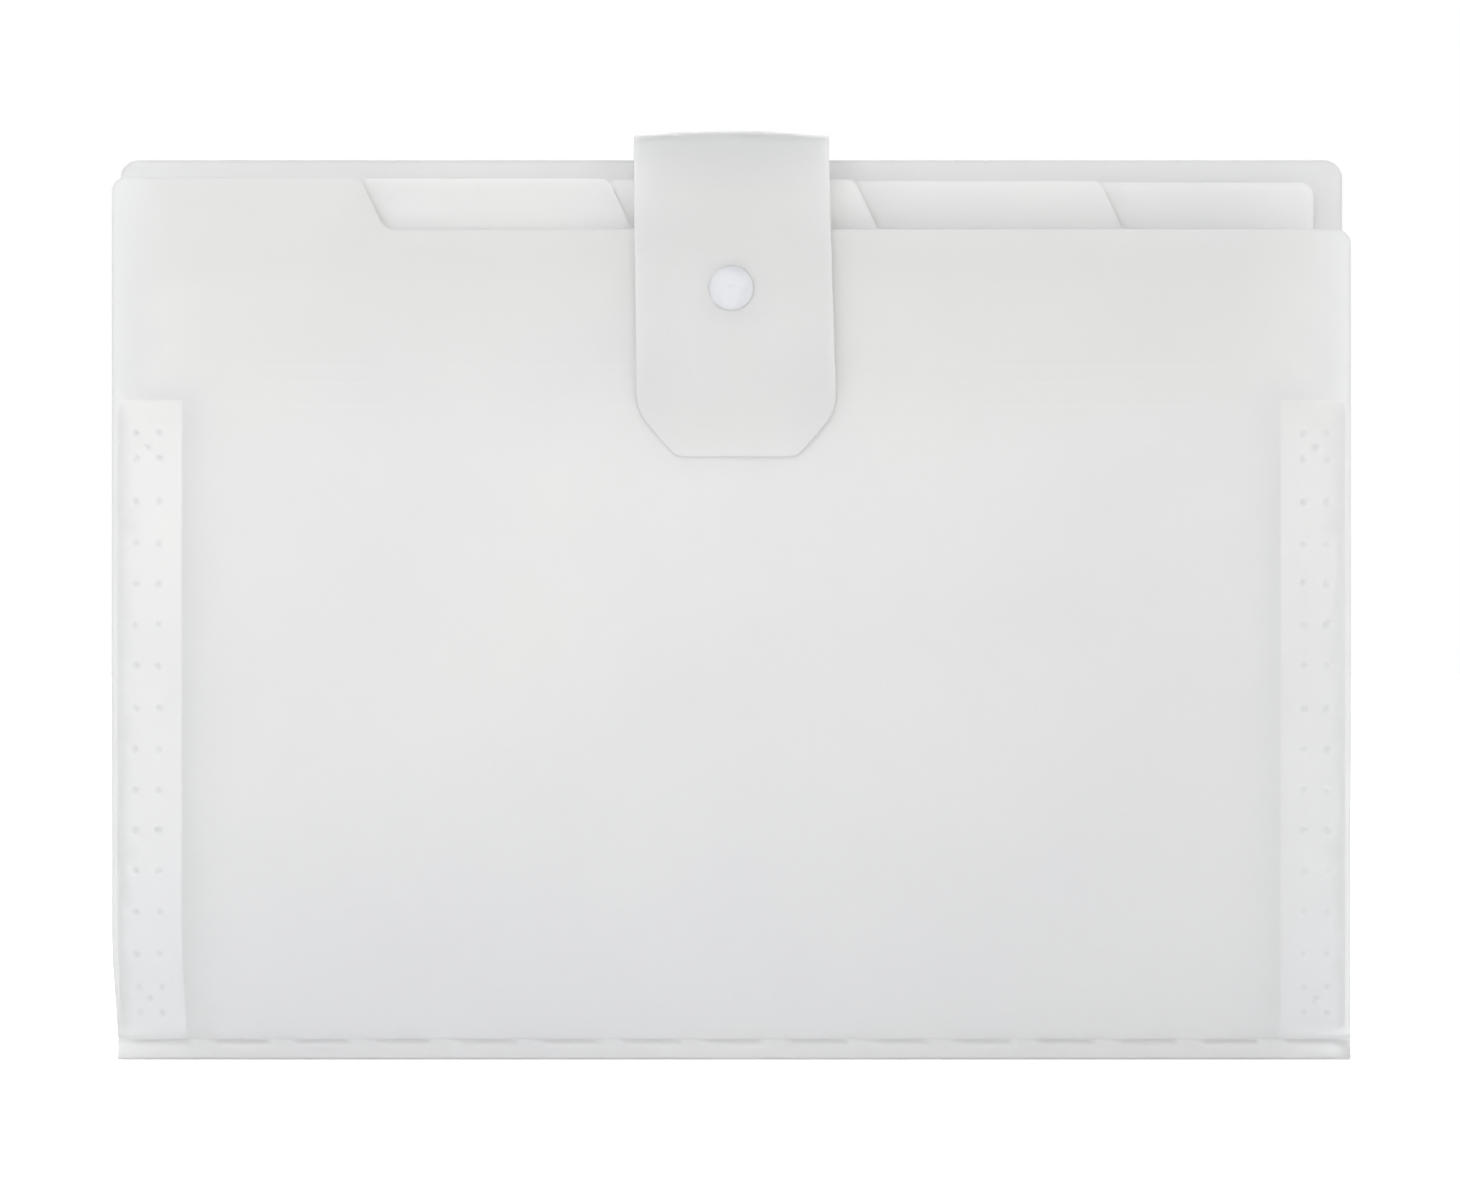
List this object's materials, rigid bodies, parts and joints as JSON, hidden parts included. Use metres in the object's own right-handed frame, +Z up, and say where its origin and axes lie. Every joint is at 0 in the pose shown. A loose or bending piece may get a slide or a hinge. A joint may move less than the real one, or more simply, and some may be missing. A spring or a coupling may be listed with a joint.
{
  "type": "accordion file folder",
  "caption": "Expanding file of frosted sheet with pleated sides, stepped index tabs and a strap with a snap fastener over the top.",
  "frame": {"origin": "centre of the spine's underside", "axes": "+X to the right of a viewer facing the front cover, +Y from the front cover to the back cover, +Z up"},
  "size_m": [0.33, 0.0316, 0.2476],
  "materials": {
    "cover_sheet": "frosted translucent polypropylene sheet",
    "divider_sheet": "frosted translucent polypropylene sheet",
    "gusset_sheet": "thin frosted polypropylene sheet, folded",
    "snap_plastic": "moulded bluish white plastic"
  },
  "bodies": {
    "back_cover": {"bottom_spine": "cover_sheet", "back_panel": "cover_sheet", "left_rear_flange": "gusset_sheet", "right_rear_flange": "gusset_sheet"},
    "front_cover": {"front_panel": "cover_sheet", "left_front_flange": "gusset_sheet", "right_front_flange": "gusset_sheet", "snap_stud": "snap_plastic", "snap_rivet": "snap_plastic", "left_pleat_1": "gusset_sheet", "right_pleat_1": "gusset_sheet"},
    "divider_1": {"divider_1": "divider_sheet", "left_seam_1": "gusset_sheet", "right_seam_1": "gusset_sheet", "left_pleat_2": "gusset_sheet", "right_pleat_2": "gusset_sheet"},
    "divider_2": {"divider_2": "divider_sheet", "left_seam_2": "gusset_sheet", "right_seam_2": "gusset_sheet", "left_pleat_3": "gusset_sheet", "right_pleat_3": "gusset_sheet"},
    "divider_3": {"divider_3": "divider_sheet", "left_seam_3": "gusset_sheet", "right_seam_3": "gusset_sheet", "left_pleat_4": "gusset_sheet", "right_pleat_4": "gusset_sheet"},
    "divider_4": {"divider_4": "divider_sheet", "left_seam_4": "gusset_sheet", "right_seam_4": "gusset_sheet", "left_pleat_5": "gusset_sheet", "right_pleat_5": "gusset_sheet"},
    "strap_bridge": {"strap_bridge": "cover_sheet"},
    "strap_tongue": {"strap_tongue": "cover_sheet", "snap_cap": "snap_plastic", "snap_socket": "snap_plastic"}
  },
  "joints": [
    {"name": "front_fan", "type": "hinge", "parent": "back_cover", "child": "front_cover", "pos_m": [0, -0.01225, 0.0055], "axis": [1, 0, 0], "range_deg": [0, 20], "deforming": ["left_pleat_1", "right_pleat_1"]},
    {"name": "divider_1_fan", "type": "hinge", "parent": "back_cover", "child": "divider_1", "pos_m": [0, -0.01225, 0.0055], "axis": [1, 0, 0], "range_deg": [0, 16], "deforming": ["left_pleat_2", "right_pleat_2"]},
    {"name": "divider_2_fan", "type": "hinge", "parent": "back_cover", "child": "divider_2", "pos_m": [0, -0.01225, 0.0055], "axis": [1, 0, 0], "range_deg": [0, 12], "deforming": ["left_pleat_3", "right_pleat_3"]},
    {"name": "divider_3_fan", "type": "hinge", "parent": "back_cover", "child": "divider_3", "pos_m": [0, -0.01225, 0.0055], "axis": [1, 0, 0], "range_deg": [0, 8], "deforming": ["left_pleat_4", "right_pleat_4"]},
    {"name": "divider_4_fan", "type": "hinge", "parent": "back_cover", "child": "divider_4", "pos_m": [0, -0.01225, 0.0055], "axis": [1, 0, 0], "range_deg": [0, 4], "deforming": ["left_pleat_5", "right_pleat_5"]},
    {"name": "strap_hinge", "type": "hinge", "parent": "back_cover", "child": "strap_bridge", "pos_m": [0, 0.01225, 0.2472], "axis": [-1, 0, 0], "range_deg": [0, 110]},
    {"name": "tongue_lift", "type": "hinge", "parent": "strap_bridge", "child": "strap_tongue", "pos_m": [0, -0.01665, 0.2472], "axis": [-1, 0, 0], "range_deg": [0, 130]}
  ],
  "couplings": [
    {"joint": "divider_1_fan", "follows": "front_fan", "ratio": 0.8},
    {"joint": "divider_2_fan", "follows": "front_fan", "ratio": 0.6},
    {"joint": "divider_3_fan", "follows": "front_fan", "ratio": 0.4},
    {"joint": "divider_4_fan", "follows": "front_fan", "ratio": 0.2},
    {"joint": "tongue_lift", "follows": "front_fan", "ratio": 6.5}
  ]
}
